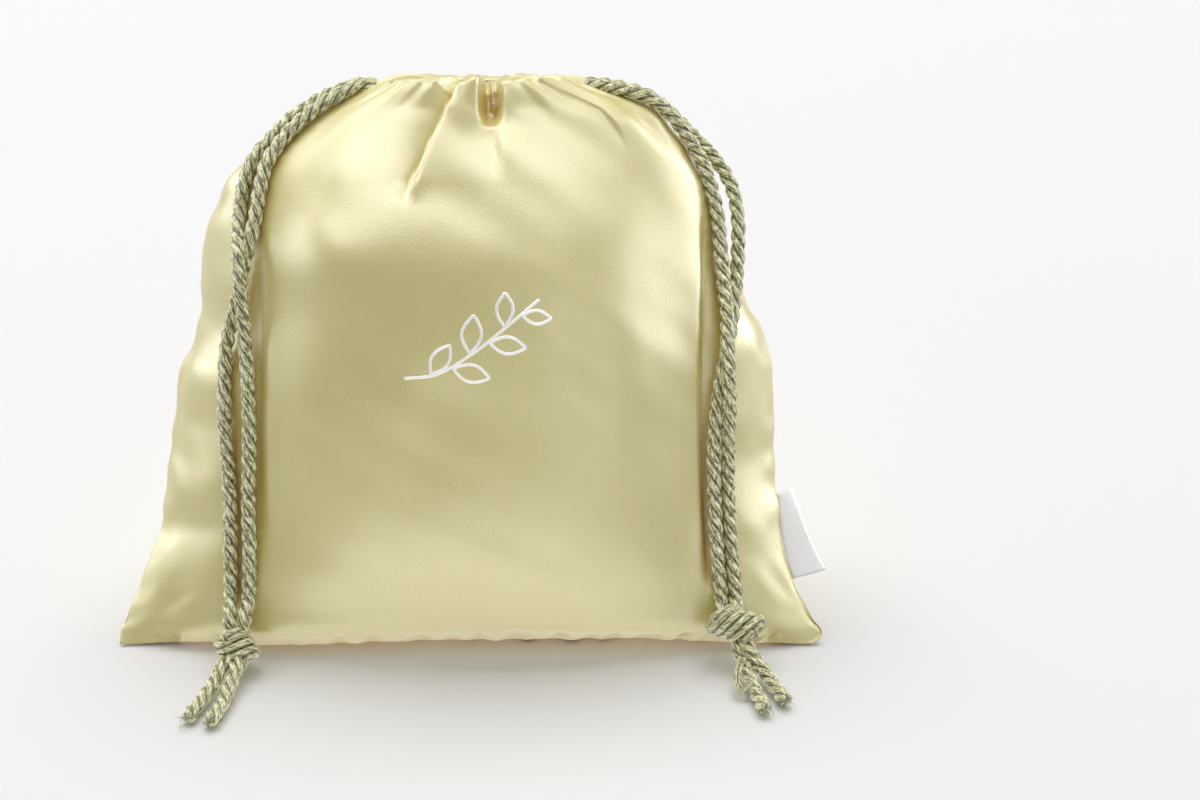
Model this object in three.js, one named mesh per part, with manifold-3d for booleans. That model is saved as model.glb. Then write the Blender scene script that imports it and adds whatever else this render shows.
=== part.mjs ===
// Drawstring pouch of pale satin, filled and standing, with two twisted cords pulled tight in its casing.
// Millimetres, +Z up, the front towards -Y. The origin is on the floor under the middle of the pouch.
import * as THREE from "three";
import { mergeVertices } from "three/addons/utils/BufferGeometryUtils.js";
import Module from "manifold-3d";

const wasm = await Module();
wasm.setup();

// Driving dimensions
const WALL = 1.6; // satin and its seam allowance, as one wall
const SEAM_INSET = 4; // from the outer edge of a side seam to the hollow inside
const CREASE_BEHIND_SEAM = 2.2; // from the bottom seam to the lowest crease of the hollow
const CORD_DIAMETER = 3.8;
const CORD_RADIUS = CORD_DIAMETER / 2;
const CORD_CLEARANCE = 0.7; // round a cord in its casing
const CORD_LIFT = 0.95; // between a cord and the cloth that it lies on
const CORD_SIDES = 8;
const CORD_STEP = 3 * CORD_DIAMETER; // between the rings of a cord

// Resolution of the cloth
const AROUND = 84;
const OUTER_RINGS = 29;
const INNER_RINGS = 14;
const INNER_LEVELS = { low: 0.06, high: 0.87 }; // the hollow, from above the bottom seam to below the hem
const EVEN_SPACING = 0.45; // the share of even spacing in the levels; the rest crowds towards both ends

const table = (columns, rows) =>
  rows.map((row) => Object.fromEntries(columns.map((name, i) => [name, row[i]])));

// Half widths at the side seams, from the bottom seam (level 0) to the rim of the mouth (level 1)
const OUTLINE = table(
  ["level", "left", "right"],
  [
    [0.0, 90.4, 87],
    [0.05, 90, 88],
    [0.1, 88, 84.5],
    [0.18, 83.8, 79.5],
    [0.26, 80.2, 77.4],
    [0.36, 78.4, 76.8],
    [0.45, 77, 76.3],
    [0.53, 73.6, 74.8],
    [0.6, 70.8, 70.4],
    [0.68, 69.6, 65],
    [0.76, 66, 62],
    [0.83, 60.6, 57.4],
    [0.89, 48, 51],
    [0.94, 37.5, 44.5],
    [1.0, 24.5, 28.5],
  ],
);

// The run of the cloth up the pouch: the side seams, the middle of the front panel and of the back panel.
// edge is the exponent of the section: 0.5 is an ellipse, 1 a lens with sharp ends.
const PROFILE = table(
  ["level", "seamY", "seamZ", "frontY", "frontZ", "backY", "backZ", "edge"],
  [
    [0.0, -40, 0.5, -40, 0.5, -40, 0, 0.9],
    [0.08, -36, 6, -44, 11, 0, -3, 0.85],
    [0.18, -28, 17, -46, 26, 30, 2, 0.8],
    [0.34, -13, 38, -44, 49, 42, 26, 0.72],
    [0.52, -1, 63, -38, 75.5, 43.5, 56, 0.66],
    [0.68, 8, 86, -28, 98.5, 40, 82, 0.62],
    [0.82, 14, 107, -13.7, 116, 36.5, 103, 0.57],
    [0.92, 17, 122, -2.4, 127.4, 34.5, 118, 0.52],
    [1.0, 18, 130.5, 3.4, 134.5, 32.6, 126, 0.5],
  ],
);

// Gathers that start at the rim: the place across the panel (-1 left seam, 1 right seam) at the rim and
// where the fold dies away, how far down it runs in levels, its depth and its half width.
const GATHER_NARROWING = 0.4; // share of its width that a fold loses on the way down
const GATHER_ROUNDING = 0.2; // how round the bottom of a fold is, in half widths
const GATHERS = table(
  ["panel", "at", "end", "reach", "depth", "spread"],
  [
    ["front", -0.84, -0.88, 0.14, 2.0, 0.09],
    ["front", -0.5, -0.54, 0.1, 1.6, 0.09],
    ["front", -0.26, -0.28, 0.3, 3.2, 0.08],
    ["front", 0.12, 0.12, 0.17, 3.2, 0.09],
    ["front", 0.4, 0.42, 0.1, 1.6, 0.08],
    ["front", 0.66, 0.72, 0.26, 3.0, 0.08],
    ["front", 0.88, 0.9, 0.14, 2.0, 0.08],
    ["back", -0.78, -0.82, 0.22, 2.6, 0.09],
    ["back", -0.45, -0.5, 0.3, 3.2, 0.09],
    ["back", -0.12, -0.1, 0.18, 3.0, 0.09],
    ["back", 0.2, 0.24, 0.32, 3.2, 0.09],
    ["back", 0.52, 0.6, 0.2, 2.6, 0.09],
    ["back", 0.8, 0.84, 0.24, 2.6, 0.09],
  ],
);

// Dents push the cloth in towards a level spine inside the pouch, this share of its half width long
const SPINE_SHARE = 0.65;
// Broad dents of the filled cloth (bulges where the depth is negative): middle, half sizes and depth
const DENTS = table(
  ["panel", "across", "level", "wide", "high", "depth"],
  [
    ["front", -0.68, 0.5, 0.09, 0.3, 1.4],
    ["front", 0.72, 0.48, 0.08, 0.32, 1.6],
    ["front", 0.05, 0.47, 0.34, 0.13, 1.2],
    ["front", -0.5, 0.0, 0.26, 0.1, -3],
    ["front", 0.4, 0.0, 0.2, 0.06, 1],
    ["back", -0.5, 0.55, 0.16, 0.26, 2.2],
    ["back", 0.45, 0.6, 0.16, 0.26, 2.2],
  ],
);

// The casing: each cord lies in an oval lane in the hem, the right one above the left one
const LANE_MIDDLE = 2;
const LANE_HALF_WIDTH = 17.5;
const LANE_HALF_DEPTH = 8;
const LANE_BELOW_RIM = { left: 8, right: 3.6 };
const EXIT_BELOW_RIM = 0.6;
const LANE_ARC_POINTS = 7;
const EXIT_REACH = { left: 29, right: 28 }; // from the middle of the lane to where a cord leaves the hem
// From the lane out to the exit: share of the reach, half the space between the ends, share of the climb
const LANE_EXITS = table(
  ["out", "apart", "climb"],
  [
    [0.25, 7.6, 0],
    [0.62, 4.8, 0],
    [0.82, 3.2, 0.4],
    [1.0, 2.3, 1],
  ],
);

// The mouth: an oval hole through the hem
const MOUTH_HALF_WIDTH = 12.5;
const MOUTH_HALF_DEPTH = 4.4;
const MOUTH_RIPPLE = 0.25; // share of a gather's depth that shows in the hole
const HEM_DEPTH = 12;
const RIM_RISE = 1.4;
const RIM_TILT = 0.3; // how far the mouth falls towards the back, mm per mm

// How the two ends of each cord lie on the cloth from the hem down. behind and before are where the end
// that starts behind the side seam and the one that starts before it lie, in parts of a turn from the seam
// towards the front. The lifts are off the cloth: the left pair cross, and the right pair bridge a hollow.
const DRAPE_COLUMNS = ["level", "behind", "before", "liftBehind", "liftBefore"];
const DRAPES = {
  left: table(DRAPE_COLUMNS, [
    [0.945, -0.02, 0.05, 0, 0],
    [0.91, 0.01, 0.058, 0, 0],
    [0.88, 0.028, 0.068, 0, 0],
    [0.84, 0.055, 0.088, 0, 0],
    [0.8, 0.073, 0.1, 0, 0],
    [0.765, 0.083, 0.102, 1.6, 0],
    [0.73, 0.094, 0.101, 3.8, 0],
    [0.695, 0.103, 0.099, 4.3, 0],
    [0.655, 0.108, 0.094, 4, 0],
    [0.61, 0.11, 0.088, 1.6, 0],
    [0.55, 0.112, 0.087, 0, 0],
    [0.465, 0.12, 0.098, 0, 0],
    [0.38, 0.124, 0.106, 0, 0],
    [0.295, 0.127, 0.112, 0, 0],
    [0.21, 0.133, 0.118, 0, 0],
    [0.13, 0.138, 0.125, 0, 0],
  ]),
  right: table(DRAPE_COLUMNS, [
    [0.945, -0.035, 0.025, 0, 0],
    [0.91, -0.026, 0.022, 0, 0],
    [0.87, -0.016, 0.026, 0.8, 0],
    [0.83, -0.004, 0.034, 2.2, 0],
    [0.79, 0.004, 0.042, 3, 0],
    [0.745, 0.016, 0.048, 3.2, 0],
    [0.695, 0.028, 0.055, 3, 0],
    [0.65, 0.042, 0.066, 1.8, 0],
    [0.6, 0.06, 0.08, 0.5, 0],
    [0.54, 0.079, 0.097, 0, 0],
    [0.465, 0.088, 0.105, 0, 0],
    [0.38, 0.092, 0.109, 0, 0],
    [0.295, 0.094, 0.111, 0, 0],
    [0.21, 0.097, 0.113, 0, 0],
    [0.13, 0.101, 0.117, 0, 0],
  ]),
};

// The knots, and the tails below them laid on the floor
const KNOT_RADIUS = 5.6;
const KNOT_CORE_RADIUS = 4.6;
const KNOT_TURN_PITCH = 2.3;
const KNOT_TURN_TILT = 14; // degrees
const KNOTS = {
  left: { middle: [-58.9, -51.5, 6.4], entry: [-58.9, -48.2, 13.3], turned: 20 },
  right: { middle: [66.4, -47.2, 9.2], entry: [65.2, -44.2, 17], turned: -35 },
};
const TAILS = {
  tail_left_a: [
    [-62.3, -56.6, 4.8],
    [-64.6, -63.6, 3],
    [-67.4, -70.4, 2.3],
    [-70, -78, 2.3],
  ],
  tail_left_b: [
    [-57.6, -57.5, 4.8],
    [-59.4, -64.6, 2.8],
    [-61.8, -72, 2.3],
    [-64.6, -80, 2.3],
  ],
  tail_right_a: [
    [70.6, -51, 5.9],
    [74.4, -58.6, 3],
    [76.8, -64.6, 2.3],
    [78.2, -70.4, 2.3],
  ],
  tail_right_b: [
    [66.2, -52.4, 5.5],
    [68.8, -60, 2.8],
    [70.4, -66.4, 2.3],
    [72.1, -73, 2.3],
  ],
};

// The tab in the right side seam: levels of its two ends, how far it stands out there, and its thickness
const LABEL_LEVELS = { low: 0.155, high: 0.29 };
const LABEL_OUT = { low: [8.4, 3.4, 0.6], high: [3.4, 3, 1] };
const LABEL_THICKNESS = 1.2;
const LABEL_GAP = 0.55;

// A column of a table at any level: a cubic through the rows, with slopes taken across each row.
function along(rows, column, level) {
  const last = rows.length - 1;
  const slope = (i) => {
    const a = rows[Math.max(i - 1, 0)];
    const b = rows[Math.min(i + 1, last)];
    return (b[column] - a[column]) / (b.level - a.level);
  };
  let i = 0;
  while (i < last - 1 && rows[i + 1].level <= level) i += 1;
  const span = rows[i + 1].level - rows[i].level;
  const t = (level - rows[i].level) / span;
  return (
    rows[i][column] * (2 * t ** 3 - 3 * t ** 2 + 1) +
    slope(i) * span * (t ** 3 - 2 * t ** 2 + t) +
    rows[i + 1][column] * (3 * t ** 2 - 2 * t ** 3) +
    slope(i + 1) * span * (t ** 3 - t ** 2)
  );
}

// How far the cloth is drawn in at a place by gathers and dents.
function drawnIn(panel, across, level) {
  let depth = 0;
  for (const fold of GATHERS) {
    const down = (1 - level) / fold.reach;
    if (fold.panel !== panel || down > 1) continue;
    const middle = fold.at + (fold.end - fold.at) * down;
    const off = (across - middle) / (fold.spread * (1 - GATHER_NARROWING * down));
    depth += fold.depth * (1 - down * down) * Math.exp(-Math.hypot(off, GATHER_ROUNDING));
  }
  for (const dent of DENTS) {
    if (dent.panel !== panel) continue;
    const sideways = (across - dent.across) / dent.wide;
    const upwards = (level - dent.level) / dent.high;
    depth += dent.depth * Math.exp(-sideways * sideways - upwards * upwards);
  }
  return depth;
}

// A point of the cloth. turn runs round the pouch from the left seam over the front to the right seam and
// on over the back. inset moves the point through the wall to the hollow side.
function clothPoint(turn, level, inset = 0) {
  const angle = 2 * Math.PI * turn;
  const across = -Math.cos(angle);
  const facing = Math.sin(angle) >= 0 ? -1 : 1;
  const panel = facing < 0 ? "front" : "back";
  const full = Math.abs(Math.sin(angle)) ** (2 * along(PROFILE, "edge", level));
  const halfWidth = along(OUTLINE, across < 0 ? "left" : "right", level) - (SEAM_INSET * inset) / WALL;
  const seamY = along(PROFILE, "seamY", level);
  const seamZ = along(PROFILE, "seamZ", level);
  const x = across * halfWidth;
  const y = seamY + (along(PROFILE, panel + "Y", level) - facing * inset - seamY) * full;
  const z = seamZ + (along(PROFILE, panel + "Z", level) - seamZ) * full;
  const spine = THREE.MathUtils.clamp(x, -SPINE_SHARE * halfWidth, SPINE_SHARE * halfWidth);
  const outward = new THREE.Vector3(x - spine, y - seamY + facing, 0).normalize();
  const point = new THREE.Vector3(x, y, z).addScaledVector(outward, -drawnIn(panel, across, level));
  point.z = Math.max(point.z, inset);
  return point;
}

// The outward direction of the cloth, from points a little to each side.
function clothNormal(turn, level) {
  const step = 0.015;
  const round = clothPoint(turn + step, level).sub(clothPoint(turn - step, level));
  const up = clothPoint(turn, level + step).sub(clothPoint(turn, level - step));
  return round.cross(up).normalize();
}

// A ring of points round the pouch, worked out for each turn.
const ring = (place) => Array.from({ length: AROUND }, (_, i) => place(i / AROUND));

// A ring folded flat, its back half laid on its front half, as along the bottom seam.
const foldedRing = (place) => ring((turn) => place(Math.min(turn, 1 - turn)));

// Levels that crowd towards both ends of a range.
function crowdedLevels(low, high, count) {
  return Array.from({ length: count }, (_, i) => {
    const u = i / (count - 1);
    const crowded = 3 * u ** 2 - 2 * u ** 3;
    return low + (high - low) * (EVEN_SPACING * u + (1 - EVEN_SPACING) * crowded);
  });
}

// A closed skin through rings that all have the same number of points, the first and last folded flat.
function skin(rings) {
  const positions = rings.flat().flatMap((p) => [p.x, p.y, p.z]);
  const index = [];
  for (let r = 0; r + 1 < rings.length; r += 1) {
    for (let i = 0; i < AROUND; i += 1) {
      const a = r * AROUND + i;
      const b = r * AROUND + ((i + 1) % AROUND);
      index.push(a, b, b + AROUND, a, b + AROUND, a + AROUND);
    }
  }
  const geometry = new THREE.BufferGeometry();
  geometry.setAttribute("position", new THREE.Float32BufferAttribute(positions, 3));
  geometry.setIndex(index);
  return geometry;
}

function solidOf(geometry) {
  const bare = new THREE.BufferGeometry();
  bare.setAttribute("position", geometry.getAttribute("position"));
  bare.setIndex(geometry.getIndex());
  const merged = mergeVertices(bare, 1e-3);
  return new wasm.Manifold(
    new wasm.Mesh({
      numProp: 3,
      vertProperties: new Float32Array(merged.getAttribute("position").array),
      triVerts: new Uint32Array(merged.getIndex().array),
    }),
  );
}

function geometryOf(solid) {
  const mesh = solid.getMesh();
  const geometry = new THREE.BufferGeometry();
  geometry.setAttribute("position", new THREE.BufferAttribute(mesh.vertProperties, 3));
  geometry.setIndex(new THREE.BufferAttribute(mesh.triVerts, 1));
  return geometry;
}

// A round tube along a smooth curve through points.
function tube(points, radius) {
  const curve = new THREE.CatmullRomCurve3(points, false, "centripetal");
  const section = new THREE.Shape();
  section.setFromPoints(
    Array.from({ length: CORD_SIDES }, (_, i) => {
      const angle = (2 * Math.PI * i) / CORD_SIDES;
      return new THREE.Vector2(radius * Math.cos(angle), radius * Math.sin(angle));
    }),
  );
  return new THREE.ExtrudeGeometry(section, {
    steps: Math.max(3, Math.round(curve.getLength() / CORD_STEP)),
    bevelEnabled: false,
    extrudePath: curve,
  });
}

// The height of the rim's plane at a place, and a point of the mouth's hole at a depth below it.
const rimHeight = (y) => along(PROFILE, "seamZ", 1) - RIM_TILT * (y - along(PROFILE, "seamY", 1));
function mouthPoint(turn, below) {
  const angle = 2 * Math.PI * turn;
  const panel = Math.sin(angle) >= 0 ? "front" : "back";
  const ripple = MOUTH_RIPPLE * drawnIn(panel, -Math.cos(angle), 1);
  const y = along(PROFILE, "seamY", 1) - (MOUTH_HALF_DEPTH - ripple) * Math.sin(angle);
  const x = LANE_MIDDLE - (MOUTH_HALF_WIDTH - ripple) * Math.cos(angle);
  return new THREE.Vector3(x, y, rimHeight(y) - below);
}

// A cord's way round the casing, from the exit of the end before the seam to that of the end behind it.
function casingRoute(side) {
  const out = side === "left" ? -1 : 1;
  const middleY = along(PROFILE, "seamY", 1);
  const climb = LANE_BELOW_RIM[side] - EXIT_BELOW_RIM;
  const place = (x, offset, climbed) => {
    const y = middleY + offset;
    const z = rimHeight(y) - LANE_BELOW_RIM[side] + climbed * climb;
    return new THREE.Vector3(LANE_MIDDLE + out * x, y, z);
  };
  const ends = LANE_EXITS.map((row) => ({ ...row, x: row.out * EXIT_REACH[side] }));
  const before = ends.map((row) => place(row.x, -row.apart, row.climb)).reverse();
  const behind = ends.map((row) => place(row.x, row.apart, row.climb));
  const arc = Array.from({ length: LANE_ARC_POINTS }, (_, i) => {
    const angle = Math.PI * (i / (LANE_ARC_POINTS - 1) - 0.5);
    const straight = LANE_HALF_WIDTH - LANE_HALF_DEPTH;
    const x = -straight - LANE_HALF_DEPTH * Math.cos(angle);
    return place(x, LANE_HALF_DEPTH * Math.sin(angle), 0);
  });
  return [...before, ...arc, ...behind];
}

// One end of a cord on the cloth, from the hem down to the knot.
function drapeRoute(side, strand) {
  const lift = strand === "before" ? "liftBefore" : "liftBehind";
  const points = DRAPES[side].map((row) => {
    const turn = side === "left" ? row[strand] : 0.5 - row[strand];
    const away = CORD_RADIUS + CORD_LIFT + row[lift];
    return clothPoint(turn, row.level).addScaledVector(clothNormal(turn, row.level), away);
  });
  const before = points[points.length - 1];
  const [x, y, z] = KNOTS[side].entry;
  const sideways = Math.sign(before.x - x) * (CORD_RADIUS + CORD_LIFT / 4);
  return [...points, new THREE.Vector3(x + sideways, y, z)];
}

// A whole cord above its knot: up one end, round the casing and down the other end.
const cordRoute = (side) => [
  ...drapeRoute(side, "before").reverse(),
  ...casingRoute(side),
  ...drapeRoute(side, "behind"),
];

// The bag as one wall: up the outside, over the rim, down through the hem and back along the inside.
function pouchWall() {
  const seam = foldedRing((turn) => clothPoint(turn, 0));
  const outer = crowdedLevels(0, 1, OUTER_RINGS)
    .slice(1)
    .map((level) => ring((turn) => clothPoint(turn, level)));
  const rim = ring((turn) => {
    const crest = clothPoint(turn, 1).lerp(mouthPoint(turn, 0), 0.5);
    crest.z += RIM_RISE;
    return crest;
  });
  const hem = [0, HEM_DEPTH / 2, HEM_DEPTH].map((below) => ring((turn) => mouthPoint(turn, below)));
  const inner = crowdedLevels(INNER_LEVELS.low, INNER_LEVELS.high, INNER_RINGS)
    .reverse()
    .map((level) => ring((turn) => clothPoint(turn, level, WALL)));
  const crease = foldedRing((turn) => {
    const point = clothPoint(turn, 0);
    point.x *= 1 - (2 * SEAM_INSET) / along(OUTLINE, "left", 0);
    point.y += CREASE_BEHIND_SEAM;
    point.z = WALL;
    return point;
  });
  let wall = solidOf(skin([seam, ...outer, rim, ...hem, ...inner, crease]));
  for (const side of ["left", "right"]) {
    wall = wall.subtract(solidOf(tube(cordRoute(side), CORD_RADIUS + CORD_CLEARANCE)));
  }
  return geometryOf(wall);
}

// A knot: turns of cord round a core, fused.
function knot(side) {
  const { turned } = KNOTS[side];
  const turns = [-1, 0, 1].map((place) => {
    const turn = new THREE.TorusGeometry(KNOT_RADIUS - CORD_RADIUS, CORD_RADIUS, 6, 12);
    turn.rotateX(THREE.MathUtils.degToRad(KNOT_TURN_TILT * place));
    turn.translate(0, 0, KNOT_TURN_PITCH * place);
    return turn;
  });
  const core = new THREE.SphereGeometry(KNOT_CORE_RADIUS, 10, 6);
  let fused = solidOf(core);
  for (const turn of turns) fused = fused.add(solidOf(turn));
  const geometry = geometryOf(fused);
  geometry.rotateY(THREE.MathUtils.degToRad(turned));
  return geometry;
}

// The label: a strip ruled from the seam to its outer edge, with an even thickness.
function label() {
  const rows = ["low", "high"].map((end) => {
    const root = clothPoint(0.5, LABEL_LEVELS[end]);
    const out = new THREE.Vector3(...LABEL_OUT[end]);
    const start = root.clone().addScaledVector(out.clone().normalize(), LABEL_GAP);
    return [start, root.add(out)];
  });
  const [[a, b], [d, c]] = rows;
  const normal = b.clone().sub(a).cross(d.clone().sub(a)).normalize();
  const half = normal.multiplyScalar(LABEL_THICKNESS / 2);
  const corners = [a, b, c, d];
  const points = [...corners.map((p) => p.clone().add(half)), ...corners.map((p) => p.clone().sub(half))];
  const geometry = new THREE.BufferGeometry();
  geometry.setAttribute(
    "position",
    new THREE.Float32BufferAttribute(points.flatMap((p) => [p.x, p.y, p.z]), 3),
  );
  const sides = [0, 1, 2, 3].flatMap((i) => {
    const next = (i + 1) % 4;
    return [i, i + 4, next + 4, i, next + 4, next];
  });
  geometry.setIndex([0, 1, 2, 0, 2, 3, 4, 6, 5, 4, 7, 6, ...sides]);
  return geometry;
}

const satin = new THREE.MeshStandardMaterial({ color: 0xd9d3a0, roughness: 0.42, metalness: 0.05 });
const cordRayon = new THREE.MeshStandardMaterial({ color: 0xa6a679, roughness: 0.5, metalness: 0 });
const ribbon = new THREE.MeshStandardMaterial({ color: 0xe9e8e6, roughness: 0.45, metalness: 0 });

const root = new THREE.Group();
function add(name, geometry, material, position = [0, 0, 0]) {
  const mesh = new THREE.Mesh(geometry, material);
  mesh.name = name;
  mesh.position.set(...position);
  root.add(mesh);
}

add("pouch_body", pouchWall(), satin);
for (const side of ["left", "right"]) {
  add("drawstring_" + side, tube(cordRoute(side), CORD_RADIUS), cordRayon);
  add("knot_" + side, knot(side), cordRayon, KNOTS[side].middle);
}
for (const [name, points] of Object.entries(TAILS)) {
  const route = points.map((p) => new THREE.Vector3(...p));
  add(name, tube(route, CORD_RADIUS), cordRayon);
}
add("side_label", label(), ribbon);

export default root;
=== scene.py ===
"""The looks of a drawstring pouch of pale satin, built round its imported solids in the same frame.

Blender works in metres, +Z up, with the pouch's front towards -Y. The tables below are in millimetres, as a
maker would measure the pouch, and MM turns them into metres where a mesh is made.
"""

import bpy
import numpy as np
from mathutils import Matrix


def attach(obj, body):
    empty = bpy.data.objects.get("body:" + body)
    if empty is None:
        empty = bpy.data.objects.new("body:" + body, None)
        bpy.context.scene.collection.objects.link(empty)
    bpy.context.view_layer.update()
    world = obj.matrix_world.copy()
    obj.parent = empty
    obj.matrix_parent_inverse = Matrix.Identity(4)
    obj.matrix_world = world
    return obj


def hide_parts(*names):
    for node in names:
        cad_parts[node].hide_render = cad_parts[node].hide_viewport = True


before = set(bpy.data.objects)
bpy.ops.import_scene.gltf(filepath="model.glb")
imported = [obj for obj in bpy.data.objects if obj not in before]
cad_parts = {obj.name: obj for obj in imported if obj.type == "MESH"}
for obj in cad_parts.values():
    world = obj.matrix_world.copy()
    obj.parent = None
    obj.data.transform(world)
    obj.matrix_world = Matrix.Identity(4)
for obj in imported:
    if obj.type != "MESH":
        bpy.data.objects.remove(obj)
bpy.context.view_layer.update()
MM = 0.001
FULL_TURN = 2 * np.pi


def table(columns, rows):
    """Rows of numbers as one array for each named column."""
    return dict(zip(columns, np.array(rows, float).T))


# The camera, at the photograph's angle
CAMERA_PLACE = (31.7, -654.0, 383.1)
CAMERA_PITCH = 27.0  # degrees below level
CAMERA_LENS = 85.0
CAMERA_SENSOR = 36.0

# The cloth: half widths at the side seams, from the bottom seam (level 0) to the rim of the mouth (level 1)
WALL = 1.6
SEAM_INSET = 4.0
OUTLINE = table(
    ("level", "left", "right"),
    [
        (0.00, 90.4, 85.4),
        (0.02, 90.3, 87.8),
        (0.05, 90.0, 88.2),
        (0.10, 88.0, 84.5),
        (0.18, 83.8, 79.5),
        (0.26, 80.2, 77.4),
        (0.36, 78.4, 76.8),
        (0.45, 77.0, 76.3),
        (0.53, 73.6, 74.8),
        (0.60, 70.8, 70.4),
        (0.68, 69.6, 65.0),
        (0.76, 66.0, 62.0),
        (0.83, 60.6, 57.4),
        (0.89, 48.0, 51.0),
        (0.94, 37.5, 44.5),
        (1.00, 24.5, 28.5),
    ],
)
# The run of the cloth up the pouch at the side seams and in the middle of each panel. edge shapes the
# section: 0.5 is an ellipse and 1 a lens with sharp ends.
PROFILE = table(
    ("level", "seam_y", "seam_z", "front_y", "front_z", "back_y", "back_z", "edge"),
    [
        (0.00, -40, 0.5, -40.0, 2.2, -40.0, 2.2, 0.90),
        (0.08, -36, 6.0, -44.0, 11.0, 0.0, -3, 0.85),
        (0.18, -28, 17.0, -46.0, 26.0, 30.0, 2, 0.80),
        (0.34, -13, 38.0, -44.0, 49.0, 42.0, 26, 0.72),
        (0.52, -1, 63.0, -38.0, 75.5, 43.5, 56, 0.66),
        (0.68, 8, 86.0, -28.0, 98.5, 40.0, 82, 0.62),
        (0.82, 14, 107.0, -13.7, 116.0, 36.5, 103, 0.57),
        (0.92, 17, 122.0, -2.4, 127.4, 34.5, 118, 0.52),
        (1.00, 18, 130.5, 3.4, 134.5, 32.6, 126, 0.50),
    ],
)
FRONT, BACK = -1, 1
# Gathers from the rim: place across the panel at the rim and where the fold dies, reach down, depth and half
# width
GATHER_NARROWING = 0.4
GATHER_ROUNDING = 0.2
GATHERS = table(
    ("facing", "at", "end", "reach", "depth", "spread"),
    [
        (FRONT, -0.84, -0.88, 0.14, 0.8, 0.09),
        (FRONT, -0.50, -0.54, 0.10, 0.4, 0.09),
        (FRONT, 0.40, 0.42, 0.10, 0.5, 0.08),
        (FRONT, 0.88, 0.90, 0.14, 1.0, 0.08),
        (BACK, -0.78, -0.82, 0.22, 2.6, 0.09),
        (BACK, -0.45, -0.50, 0.30, 3.2, 0.09),
        (BACK, -0.12, -0.10, 0.18, 3.0, 0.09),
        (BACK, 0.20, 0.24, 0.32, 3.2, 0.09),
        (BACK, 0.52, 0.60, 0.20, 2.6, 0.09),
        (BACK, 0.80, 0.84, 0.24, 2.6, 0.09),
    ],
)
# Broad dents, or bulges where the depth is negative: middle across and up, half sizes and depth
SPINE_SHARE = 0.65
DENTS = table(
    ("facing", "across", "level", "wide", "high", "depth"),
    [
        (FRONT, -0.68, 0.50, 0.09, 0.30, 1.4),
        (FRONT, 0.73, 0.46, 0.13, 0.30, 2.2),
        (FRONT, 0.05, 0.46, 0.34, 0.13, 2.6),
        (FRONT, -0.50, 0.72, 0.22, 0.07, -2.6),
        (FRONT, -0.50, 0.00, 0.26, 0.16, -2.2),
        (FRONT, 0.40, 0.00, 0.20, 0.06, 1.0),
        (BACK, -0.50, 0.55, 0.16, 0.26, 2.2),
        (BACK, 0.45, 0.60, 0.16, 0.26, 2.2),
    ],
)

# The mouth: an oval hole through the gathered hem
MOUTH_MIDDLE = 2.0
MOUTH_HALF_WIDTH = 12.5
MOUTH_HALF_DEPTH = 4.4
HEM_DEPTH = 12.0
RIM_RISE = 1.4
RIM_TILT = 0.3  # how far the mouth falls towards the back, mm per mm

# Cords
CORD_DIAMETER = 3.8
CORD_RADIUS = CORD_DIAMETER / 2
CORD_LIFT = 0.35  # between a cord's ridges and the cloth
EXIT_REACH = {"left": 29.0, "right": 28.0}
LANE_BELOW_RIM = {"left": 8.0, "right": 3.6}
EXIT_BELOW_RIM = 0.6
# From the lane in the hem out to the exit: share of the reach, half the space between the ends, climb
LANE_EXITS = table(
    ("out", "apart", "climb"),
    [
        (0.62, 4.8, 0.0),
        (0.82, 3.2, 0.4),
        (1.00, 2.3, 1.0),
    ],
)
# Where the two ends of each cord lie on the cloth: parts of a turn from the side seam towards the front for
# the end that starts behind the seam and the one before it, and how far each is lifted off the cloth. Each
# pair crosses once, with one end lifted over the other.
DRAPE_COLUMNS = ("level", "behind", "before", "lift_behind", "lift_before")
DRAPES = {
    "left": table(
        DRAPE_COLUMNS,
        [
            (0.945, -0.020, 0.050, 0.0, 0),
            (0.910, 0.015, 0.058, 0.0, 0),
            (0.880, 0.041, 0.068, 0.0, 0),
            (0.840, 0.067, 0.089, 0.0, 0),
            (0.800, 0.079, 0.100, 0.0, 0),
            (0.765, 0.085, 0.104, 0.0, 0),
            (0.730, 0.095, 0.106, 1.2, 0),
            (0.695, 0.106, 0.105, 3.2, 0),
            (0.655, 0.110, 0.102, 3.6, 0),
            (0.610, 0.111, 0.097, 2.8, 0),
            (0.550, 0.113, 0.095, 0.3, 0),
            (0.465, 0.123, 0.103, 0.0, 0),
            (0.380, 0.126, 0.108, 0.0, 0),
            (0.295, 0.127, 0.113, 0.0, 0),
            (0.210, 0.133, 0.119, 0.0, 0),
            (0.130, 0.138, 0.127, 0.0, 0),
        ],
    ),
    "right": table(
        DRAPE_COLUMNS,
        [
            (0.945, -0.035, 0.025, 0.0, 0),
            (0.910, -0.026, 0.022, 0.0, 0),
            (0.870, -0.016, 0.026, 0.8, 0),
            (0.830, -0.004, 0.034, 2.2, 0),
            (0.790, 0.010, 0.042, 3.0, 0),
            (0.745, 0.027, 0.049, 3.0, 0),
            (0.695, 0.038, 0.056, 2.4, 0),
            (0.650, 0.050, 0.066, 1.0, 0),
            (0.600, 0.070, 0.081, 0.0, 1.4),
            (0.540, 0.090, 0.096, 0.0, 3.2),
            (0.465, 0.102, 0.098, 0.0, 3.2),
            (0.380, 0.107, 0.096, 0.0, 1.0),
            (0.295, 0.107, 0.095, 0.0, 0),
            (0.210, 0.108, 0.096, 0.0, 0),
            (0.130, 0.114, 0.103, 0.0, 0),
        ],
    ),
}
# Each knot's middle, and the place where the two ends go into it
KNOTS = {
    "left": {"middle": (-58.9, -51.5, 6.4), "entry": (-58.9, -48.2, 13.3)},
    "right": {"middle": (66.4, -47.2, 9.2), "entry": (64.0, -43.6, 13.0)},
}
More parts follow.
